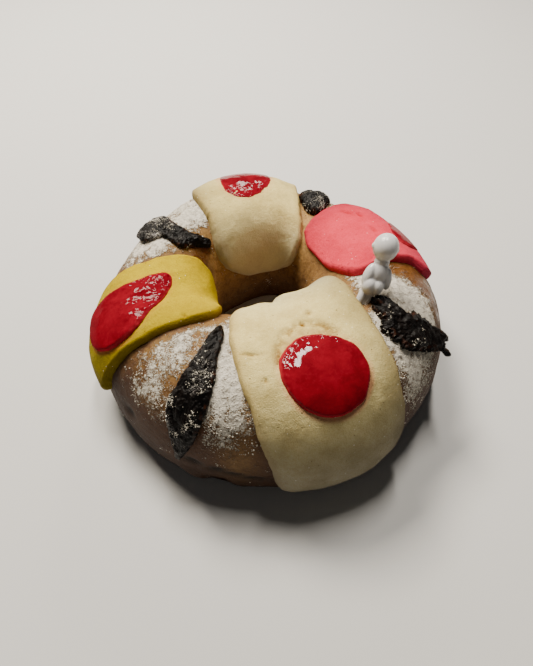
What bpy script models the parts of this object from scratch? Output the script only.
"""A small roscon de reyes: a ring loaf of sweet dough with bands of sugar paste baked onto it,
a spot of red jelly on each band, strips of dark fig laid on the crust between the bands, and
a white figurine planted beside the front band.

Metres, +Z up. The ring's axis is vertical and the loaf stands on its flat base at z = 0.
Azimuths are in degrees, counter-clockwise from +X. The crust is described by its section: a
place on it is an azimuth, a distance across (round the ring, counter-clockwise), a distance
along (down the section from the crest, outwards positive) and a lift above the crust."""

import math
from collections import namedtuple

import bmesh
import bpy
import numpy as np
from mathutils import Matrix, Vector, noise

MM = 0.001

# The loaf's even section, before the swells.
CREST_RADIUS = 39.0 * MM  # ring axis to the top of the section
OUTER_HALF = 23.6 * MM  # crest line to the widest point of the outer wall
INNER_HALF = 24.4 * MM  # crest line to the narrowest point of the hole
CREST_HEIGHT = 40.5 * MM
WIDEST_HEIGHT = 11.0 * MM
FOOT_INSET = 3.5 * MM  # how far both walls tuck in below their widest point
DOME_POWER = 0.86  # under 1 gives the dome fuller shoulders than an ellipse

# Uneven rising: azimuth, spread in degrees, then how far the crust stands out, up and
# into the hole there.
Swell = namedtuple("Swell", "azimuth spread outward upward inward")
SWELLS = (
    Swell(-112, 20, 2.5 * MM, 2.0 * MM, 3.5 * MM),
    Swell(-63, 20, 3.0 * MM, 1.2 * MM, 4.5 * MM),
    Swell(-94, 12, 0, 0, 3.5 * MM),
    Swell(-46, 24, 0, 0, 6.0 * MM),
    Swell(-18, 20, 4.0 * MM, 1.7 * MM, 0.5 * MM),
    Swell(26, 16, -1.0 * MM, -0.4 * MM, -1.8 * MM),
    Swell(65, 20, 0.5 * MM, -4.5 * MM, -6.5 * MM),
    Swell(100, 20, 2.2 * MM, 1.3 * MM, -4.0 * MM),
    Swell(150, 20, -5.0 * MM, 0.5 * MM, -5.0 * MM),
    Swell(-162, 20, 0.7 * MM, -2.0 * MM, -2.0 * MM),
)
LUMP_SIZE = 17.0 * MM
LUMP_RELIEF = 0.45 * MM

# How finely the solids are divided.
RING_STEPS = 64
SECTION_STEPS = 24
BAND_SIDES, BAND_RINGS = 36, 6
JELLY_SIDES, JELLY_RINGS = 20, 3
FIG_SIDES, FIG_RINGS = 26, 3
LIMB_RINGS = 8
SOCKET_SIDES = 12

BAND_LIFT = 1.05 * MM  # clears the loaf's facets
BAND_THICKNESS = 2.85 * MM
BAND_FULLNESS = 7  # a high power keeps a piece flat nearly to its edge
JELLY_GAP = 0.55 * MM  # between a band and its jelly
JELLY_EDGE = 0.5 * MM
JELLY_FULLNESS = 2.4
FIG_GAP = 0.8 * MM  # clears the loaf's facets
FIG_EDGE = 0.5 * MM
FIG_FULLNESS = 2.0

# Pieces laid on the crust. Their outlines' corners are in mm: across from the piece's azimuth,
# then along. A band's edge and the height of the others' middles are thicknesses; a fig's
# outer tip stands up off the crust by its tip_lift.
Band = namedtuple("Band", "name azimuth edge corners")
BANDS = (
    Band(
        "band_cream_front",
        -66,
        2.2 * MM,
        (
            (-24.6, -11), (-26.2, 16), (-24.3, 32), (-20.5, 44.5), (-10, 46.8), (12, 44),
            (17.5, 37.5), (19.5, 21), (23.1, -3), (26.3, -9), (27.2, -14.5), (23.5, -21.5),
            (12, -25.7), (-12, -23.7), (-20.5, -18.5),
        ),
    ),
    Band(
        "band_yellow",
        -162,
        2.6 * MM,
        (
            (-16.3, 5), (-15.2, -19), (-12, -26), (-5, -28.7), (13, -16.3), (16.6, -11),
            (17.4, 3), (18, 18), (15.6, 36), (8, 38.5), (-4, 37), (-10.4, 31), (-14.5, 19),
        ),
    ),
    Band(
        "band_cream_back",
        100,
        2.4 * MM,
        (
            (-22, 8), (-20.5, -4), (-15.6, -19.5), (-9, -32.5), (-4, -37), (1, -36.4),
            (10, -29.6), (17.4, -7), (22, 10), (22, 20), (20.5, 32), (14, 37.5), (-14, 37.5),
            (-20.5, 32),
        ),
    ),
    Band(
        "band_pink",
        29,
        2.6 * MM,
        (
            (13.4, -14), (19.9, 0), (21.6, 20), (20, 30), (10, 36.5), (-17, 34.5), (-23, 27),
            (-25.2, 20), (-20.8, 11), (-19.2, 3), (-20.8, -5.6), (-15, -12), (0, -19.4),
            (7.5, -18.6),
        ),
    ),
)

Jelly = namedtuple("Jelly", "name azimuth height corners")
JELLIES = (
    Jelly(
        "jelly_front",
        -66,
        1.5 * MM,
        (
            (-13.2, 2.5), (-6, -2.2), (2, -1.6), (8.5, 2.8), (10.5, 8.5), (7.5, 14.2),
            (0.5, 17.4), (-8, 16.4), (-13.6, 12), (-14.8, 7),
        ),
    ),
    Jelly(
        "jelly_yellow",
        -162,
        1.5 * MM,
        (
            (-6.2, -6.2), (-2, -6.6), (4, -2.8), (9, 3), (13.6, 9), (14.6, 15.5), (11, 21.4),
            (3.5, 24), (-4, 21.4), (-6, 14), (-6.6, 5), (-7.4, -1),
        ),
    ),
    Jelly(
        "jelly_back",
        100,
        1.1 * MM,
        (
            (9.8, 6), (7.5, -1.5), (1.3, -5), (-5, -1), (-10.4, 7), (-10.8, 13), (-6, 19.5),
            (2, 20.8), (8.6, 15.5),
        ),
    ),
    Jelly(
        "jelly_pink",
        29,
        1.1 * MM,
        (
            (-3, 11.4), (-9.6, 8.8), (-14.8, 13.5), (-14.6, 20), (-10, 25.4), (-3.5, 26.4),
            (2.4, 21.5), (1.4, 15),
        ),
    ),
)

Fig = namedtuple("Fig", "name azimuth height tip_lift corners")
FIGS = (
    Fig(
        "fig_front",
        -115.8,
        2.4 * MM,
        0.0,
        (
            (-0.6, -7.2), (2.4, -4.4), (4.6, 2), (7.6, 9.5), (8.2, 17), (7, 26), (3.6, 34),
            (1.6, 36.8), (0.4, 31.5), (-2.7, 24), (-3.9, 17), (-2.3, 8), (-1.7, -1),
        ),
    ),
    Fig(
        "fig_right",
        -22.5,
        2.8 * MM,
        2.4 * MM,
        (
            (-0.8, 1.2), (0, 5), (0, 9.5), (1.6, 15.5), (2.2, 20.5), (1.6, 23), (-0.8, 22.4),
            (-3.2, 27), (-4.2, 24), (-8.8, 19.9), (-12.4, 16), (-13.4, 11), (-11.4, 6.4),
            (-7.4, 3.2), (-3.6, 1.6),
        ),
    ),
    Fig(
        "fig_left",
        153,
        2.6 * MM,
        1.5 * MM,
        (
            (-7.4, 12), (-5, 2), (-3.4, -7), (-4.6, -17.2), (-1, -13.5), (4, -8), (2.4, -3),
            (2, 2.2), (6.5, 7.5), (6.8, 12.5), (1.5, 17.5), (-4.5, 17),
        ),
    ),
    Fig(
        "fig_back",
        64.5,
        4.4 * MM,
        0.0,
        (
            (5.2, 8), (5.8, 13.5), (0.5, 16.5), (-4.6, 13), (-5.2, 6), (-3.6, 0.8), (-0.8, 0),
            (3, 4),
        ),
    ),
)

# The figurine, in its own frame, in mm: feet at the origin, +Z to the head, back towards -Y.
Limb = namedtuple("Limb", "centre radii tilt sides")
DOLL_LIMBS = (
    Limb((0.0, 0.0, 21.6), (4.15, 4.3, 4.6), 0, 14),  # head
    Limb((0.2, 0.0, 13.4), (3.2, 2.8, 5.0), 0, 12),  # chest and belly
    Limb((-3.0, -0.3, 12.2), (1.8, 1.9, 4.0), 12, 10),  # arms
    Limb((3.2, -0.3, 11.9), (1.7, 1.8, 3.9), -10, 10),
    Limb((-0.6, -0.6, 9.2), (3.3, 2.8, 2.7), 0, 12),  # seat
    Limb((-1.6, 0.0, 5.2), (1.9, 1.6, 5.2), 12, 10),  # legs, together
)
DOLL_AZIMUTH = -24.6
DOLL_ALONG = -0.7 * MM
DOLL_PLANTED = 4.1 * MM
DOLL_AXIS = Vector((4.5, 12.0, 17.0))  # from its feet to its head
SOCKET_RADIUS = 2.9 * MM
SOCKET_ACROSS = -1.9 * MM  # the legs stand this far to the side of the figurine's own axis
SOCKET_BELOW = 1.0 * MM  # how far the socket goes on under the feet


def clear_scene():
    for obj in list(bpy.data.objects):
        bpy.data.objects.remove(obj, do_unlink=True)


def collection(name):
    made = bpy.data.collections.new(name)
    bpy.context.scene.collection.children.link(made)
    return made


def material(name, colour, roughness):
    made = bpy.data.materials.new(name)
    made.use_nodes = True
    surface = made.node_tree.nodes["Principled BSDF"]
    surface.inputs["Base Color"].default_value = (*colour, 1)
    surface.inputs["Roughness"].default_value = roughness
    surface.inputs["Metallic"].default_value = 0
    return made


# ---------------------------------------------------------------- the crust's geometry


def section_outline(dome_steps=90, foot_steps=20):
    """The section's outline from the inner foot over the crest to the outer foot, as arrays
    of radius, height, and arc length from the crest."""
    rise = CREST_HEIGHT - WIDEST_HEIGHT
    dome = np.linspace(0, np.pi / 2, dome_steps)
    run = np.cos(dome) ** DOME_POWER
    run[-1] = 0
    height = WIDEST_HEIGHT + rise * np.sin(dome) ** DOME_POWER
    foot = np.linspace(np.pi / 2, 0, foot_steps)[:-1]
    tuck = FOOT_INSET * (1 - np.cos(foot))
    foot_height = WIDEST_HEIGHT * (1 - np.sin(foot))
    outer = np.concatenate([CREST_RADIUS + OUTER_HALF - tuck, CREST_RADIUS + OUTER_HALF * run])
    inner = np.concatenate([CREST_RADIUS - INNER_HALF + tuck, CREST_RADIUS - INNER_HALF * run])
    side = np.concatenate([foot_height, height])
    radius = np.concatenate([inner, outer[-2::-1]])
    height = np.concatenate([side, side[-2::-1]])
    arc = np.concatenate([[0], np.cumsum(np.hypot(np.diff(radius), np.diff(height)))])
    return radius, height, arc - arc[len(side) - 1]


SECTION = section_outline()
INNER_FOOT, OUTER_FOOT = SECTION[2][0], SECTION[2][-1]


def on_section(along, lift=0.0):
    """Radius and height of the point this far along the section and this far above it."""
    radius, height, arc = SECTION
    step = 0.5 * MM
    here, before, after = (
        np.array([np.interp(a, arc, radius), np.interp(a, arc, height)])
        for a in (along, along - step, along + step)
    )
    slope = after - before
    normal = np.array([-slope[1], slope[0]]) / np.hypot(*slope)
    return here + lift * normal


def swollen(point):
    """A point of the even ring, moved to where the uneven loaf has it."""
    azimuth = math.degrees(math.atan2(point.y, point.x))
    outward = upward = inward = 0.0
    for swell in SWELLS:
        away = (azimuth - swell.azimuth + 180) % 360 - 180
        share = math.exp(-0.5 * (away / swell.spread) ** 2)
        outward += swell.outward * share
        upward += swell.upward * share
        inward += swell.inward * share
    radius = math.hypot(point.x, point.y)
    lump = LUMP_RELIEF * noise.noise(point / LUMP_SIZE)
    off_crest = radius - CREST_RADIUS
    if off_crest > 0:
        off_crest *= 1 + (outward + lump) / OUTER_HALF
    else:
        off_crest *= 1 + (inward + lump) / INNER_HALF
    height = point.z
    if height > WIDEST_HEIGHT:
        rise = CREST_HEIGHT - WIDEST_HEIGHT
        height += (height - WIDEST_HEIGHT) * (upward + lump) / rise
    scale = (CREST_RADIUS + off_crest) / radius
    return Vector((point.x * scale, point.y * scale, height))


def on_crust(azimuth, across, along, lift=0.0):
    """A point on, or lifted off, the loaf's crust, in the model's frame."""
    foot_radius = on_section(along)[0]
    radius, height = on_section(along, lift)
    angle = math.radians(azimuth) + across / foot_radius
    even = Vector((radius * math.cos(angle), radius * math.sin(angle), height))
    return swollen(even)


# ---------------------------------------------------------------- making objects


def finished(bm, name, folder, finish):
    """The bmesh as a named, smooth-shaded object of its collection."""
    mesh = bpy.data.meshes.new(name)
    bm.to_mesh(mesh)
    bm.free()
    mesh.shade_smooth()
    mesh.materials.append(finish)
    obj = bpy.data.objects.new(name, mesh)
    folder.objects.link(obj)
    return obj


def helper(bm, name, cutters, finish):
    """A body that only cuts or joins another one."""
    obj = finished(bm, name, cutters, finish)
    obj.hide_render = True
    obj.display_type = "WIRE"
    return obj


def baked(obj):
    """Replaces an object's modifiers with the mesh that they make."""
    bpy.context.view_layer.update()
    evaluated = obj.evaluated_get(bpy.context.evaluated_depsgraph_get())
    mesh = bpy.data.meshes.new_from_object(evaluated)
    obj.modifiers.clear()
    obj.data = mesh
    return obj


def make_loaf(folder, finish):
    """The section's outline turned round the axis, then swollen unevenly."""
    bm = bmesh.new()
    stations = np.linspace(OUTER_FOOT, INNER_FOOT, SECTION_STEPS)
    outline = [bm.verts.new((radius, 0, height)) for radius, height in map(on_section, stations)]
    for start, end in zip(outline, outline[1:] + outline[:1]):
        bm.edges.new((start, end))
    loaf = finished(bm, "loaf", folder, finish)
    turn = loaf.modifiers.new("turn", "SCREW")
    turn.steps = turn.render_steps = RING_STEPS
    turn.use_merge_vertices = True
    turn.merge_threshold = 0.05 * MM
    baked(loaf)
    for vertex in loaf.data.vertices:
        vertex.co = swollen(vertex.co)
    bm = bmesh.new()
    bm.from_mesh(loaf.data)
    bmesh.ops.recalc_face_normals(bm, faces=bm.faces)
    bm.to_mesh(loaf.data)
    bm.free()
    return loaf


def closed_curve(corners, count):
    """Evenly numbered points on a smooth closed curve through the corners of an outline. It
    passes each corner halfway between the directions of the two sides that meet there."""
    corners = np.array(corners) * MM
    sides = np.roll(corners, -1, axis=0) - corners
    lengths = np.hypot(*sides.T)
    directions = sides / lengths[:, None]
    headings = directions + np.roll(directions, 1, axis=0)
    headings /= np.hypot(*headings.T)[:, None]
    arc = np.concatenate([[0], np.cumsum(lengths)])
    at = np.linspace(0, arc[-1], count, endpoint=False)
    here = np.searchsorted(arc, at, side="right") - 1
    there = (here + 1) % len(corners)
    length = lengths[here][:, None]
    t = (at - arc[here])[:, None] / length
    turned = t * t * (3 - 2 * t)
    bend = headings[here] * (1 - t) - headings[there] * t
    return corners[here] * (1 - turned) + corners[there] * turned + length * t * (1 - t) * bend


def laid_piece(piece, sides, rings, lifts, folder, finish):
    """A closed piece on the crust: rings from its middle out to its outline, above and
    below. Lifts turns how far out a place is, from 0 to 1, and how far it lies towards the
    outer tip into its underside's and its top's lift."""
    outline = closed_curve(piece.corners, sides)
    middle = outline.mean(axis=0)
    tip = outline[:, 1].max() - middle[1]
    bm = bmesh.new()

    def vertex(offset, reach, layer):
        across, along = middle + offset * reach
        lift = lifts(reach, max(0.0, offset[1] * reach / tip))[layer]
        return bm.verts.new(on_crust(piece.azimuth, across, along, lift))

    rims = []
    for layer in (0, 1):
        centre = vertex(np.zeros(2), 0.0, layer)
        inner = None
        for ring in range(1, rings + 1):
            outer = [vertex(corner - middle, ring / rings, layer) for corner in outline]
            for n in range(sides):
                m = (n + 1) % sides
                corners = (outer[n], outer[m], inner[m], inner[n]) if inner else None
                bm.faces.new(corners or (outer[n], outer[m], centre))
            inner = outer
        rims.append(inner)
    low, high = rims
    for n in range(sides):
        m = (n + 1) % sides
        bm.faces.new((low[n], low[m], high[m], high[n]))
    bm.normal_update()
    bmesh.ops.recalc_face_normals(bm, faces=bm.faces)
    return finished(bm, piece.name, folder, finish)


def make_band(band, folder, finish):
    """A rolled strip of sugar paste laid over the ring, from the hole to the outer wall."""

    def lifts(reach, towards_tip):
        fall = (BAND_THICKNESS - band.edge) * reach**BAND_FULLNESS
        return BAND_LIFT, BAND_LIFT + BAND_THICKNESS - fall

    return laid_piece(band, BAND_SIDES, BAND_RINGS, lifts, folder, finish)


def make_jelly(jelly, folder, finish):
    """A spot of set jelly on its band, slightly domed."""
    floor = BAND_LIFT + BAND_THICKNESS + JELLY_GAP

    def lifts(reach, towards_tip):
        dome = (jelly.height - JELLY_EDGE) * (1 - reach**JELLY_FULLNESS)
        return floor, floor + JELLY_EDGE + dome

    return laid_piece(jelly, JELLY_SIDES, JELLY_RINGS, lifts, folder, finish)


def make_fig(fig, folder, finish):
    """A leathery strip of candied fig with a torn outline."""

    def lifts(reach, towards_tip):
        floor = FIG_GAP + fig.tip_lift * towards_tip**2
        body = (fig.height - FIG_EDGE) * (1 - reach**FIG_FULLNESS)
        return floor, floor + FIG_EDGE + body

    return laid_piece(fig, FIG_SIDES, FIG_RINGS, lifts, folder, finish)


def doll_matrix():
    """Where the figurine stands: its feet a little under the crust, leaning back."""
    foot = on_crust(DOLL_AZIMUTH, 0, DOLL_ALONG)
    lean = Vector((0, 0, 1)).rotation_difference(DOLL_AXIS).to_matrix().to_4x4()
    return Matrix.Translation(foot) @ lean @ Matrix.Translation((0, 0, -DOLL_PLANTED))


def make_doll(folder, cutters, finish):
    """A moulded plastic figurine: head, trunk, arms, seat and legs joined in one body."""
    place = doll_matrix() @ Matrix.Scale(MM, 4)
    body = None
    for number, limb in enumerate(DOLL_LIMBS):
        bm = bmesh.new()
        bmesh.ops.create_uvsphere(
            bm, u_segments=limb.sides, v_segments=LIMB_RINGS, radius=1
        )
        tilt = Matrix.Rotation(math.radians(limb.tilt), 4, "Y")
        stretch = Matrix.Diagonal((*limb.radii, 1))
        shape = place @ Matrix.Translation(limb.centre) @ tilt @ stretch
        bmesh.ops.transform(bm, matrix=shape, verts=bm.verts)
        if body is None:
            body = finished(bm, "doll", folder, finish)
            continue
        join = body.modifiers.new(f"limb_{number}", "BOOLEAN")
        join.operation = "UNION"
        join.object = helper(bm, f"limb_{number}", cutters, finish)
    return body


def cut_socket(loaf, cutters, finish):
    """The hole in the crust that the figurine's feet stand in."""
    length = 4 * DOLL_PLANTED
    bm = bmesh.new()
    bmesh.ops.create_cone(
        bm,
        cap_ends=True,
        segments=SOCKET_SIDES,
        radius1=SOCKET_RADIUS,
        radius2=SOCKET_RADIUS,
        depth=length,
    )
    rise = Matrix.Translation((SOCKET_ACROSS, 0, length / 2 - SOCKET_BELOW))
    bmesh.ops.transform(bm, matrix=doll_matrix() @ rise, verts=bm.verts)
    cut = loaf.modifiers.new("socket", "BOOLEAN")
    cut.operation = "DIFFERENCE"
    cut.object = helper(bm, "socket", cutters, finish)


def main():
    clear_scene()
    parts = collection("roscon_de_reyes")
    cutters = collection("cutters")
    crust = material("crust", (0.45, 0.22, 0.07), 0.5)
    cream = material("cream_paste", (0.72, 0.62, 0.38), 0.8)
    yellow = material("yellow_paste", (0.88, 0.60, 0.02), 0.75)
    pink = material("pink_paste", (0.90, 0.25, 0.28), 0.75)
    jelly = material("red_jelly", (0.55, 0.01, 0.015), 0.12)
    fig = material("dark_fig", (0.02, 0.014, 0.01), 0.5)
    plastic = material("white_plastic", (0.78, 0.78, 0.78), 0.3)
    paste = {"band_yellow": yellow, "band_pink": pink}

    loaf = make_loaf(parts, crust)
    for band in BANDS:
        make_band(band, parts, paste.get(band.name, cream))
    for spot in JELLIES:
        make_jelly(spot, parts, jelly)
    for strip in FIGS:
        make_fig(strip, parts, fig)
    make_doll(parts, cutters, plastic)
    cut_socket(loaf, cutters, crust)


main()
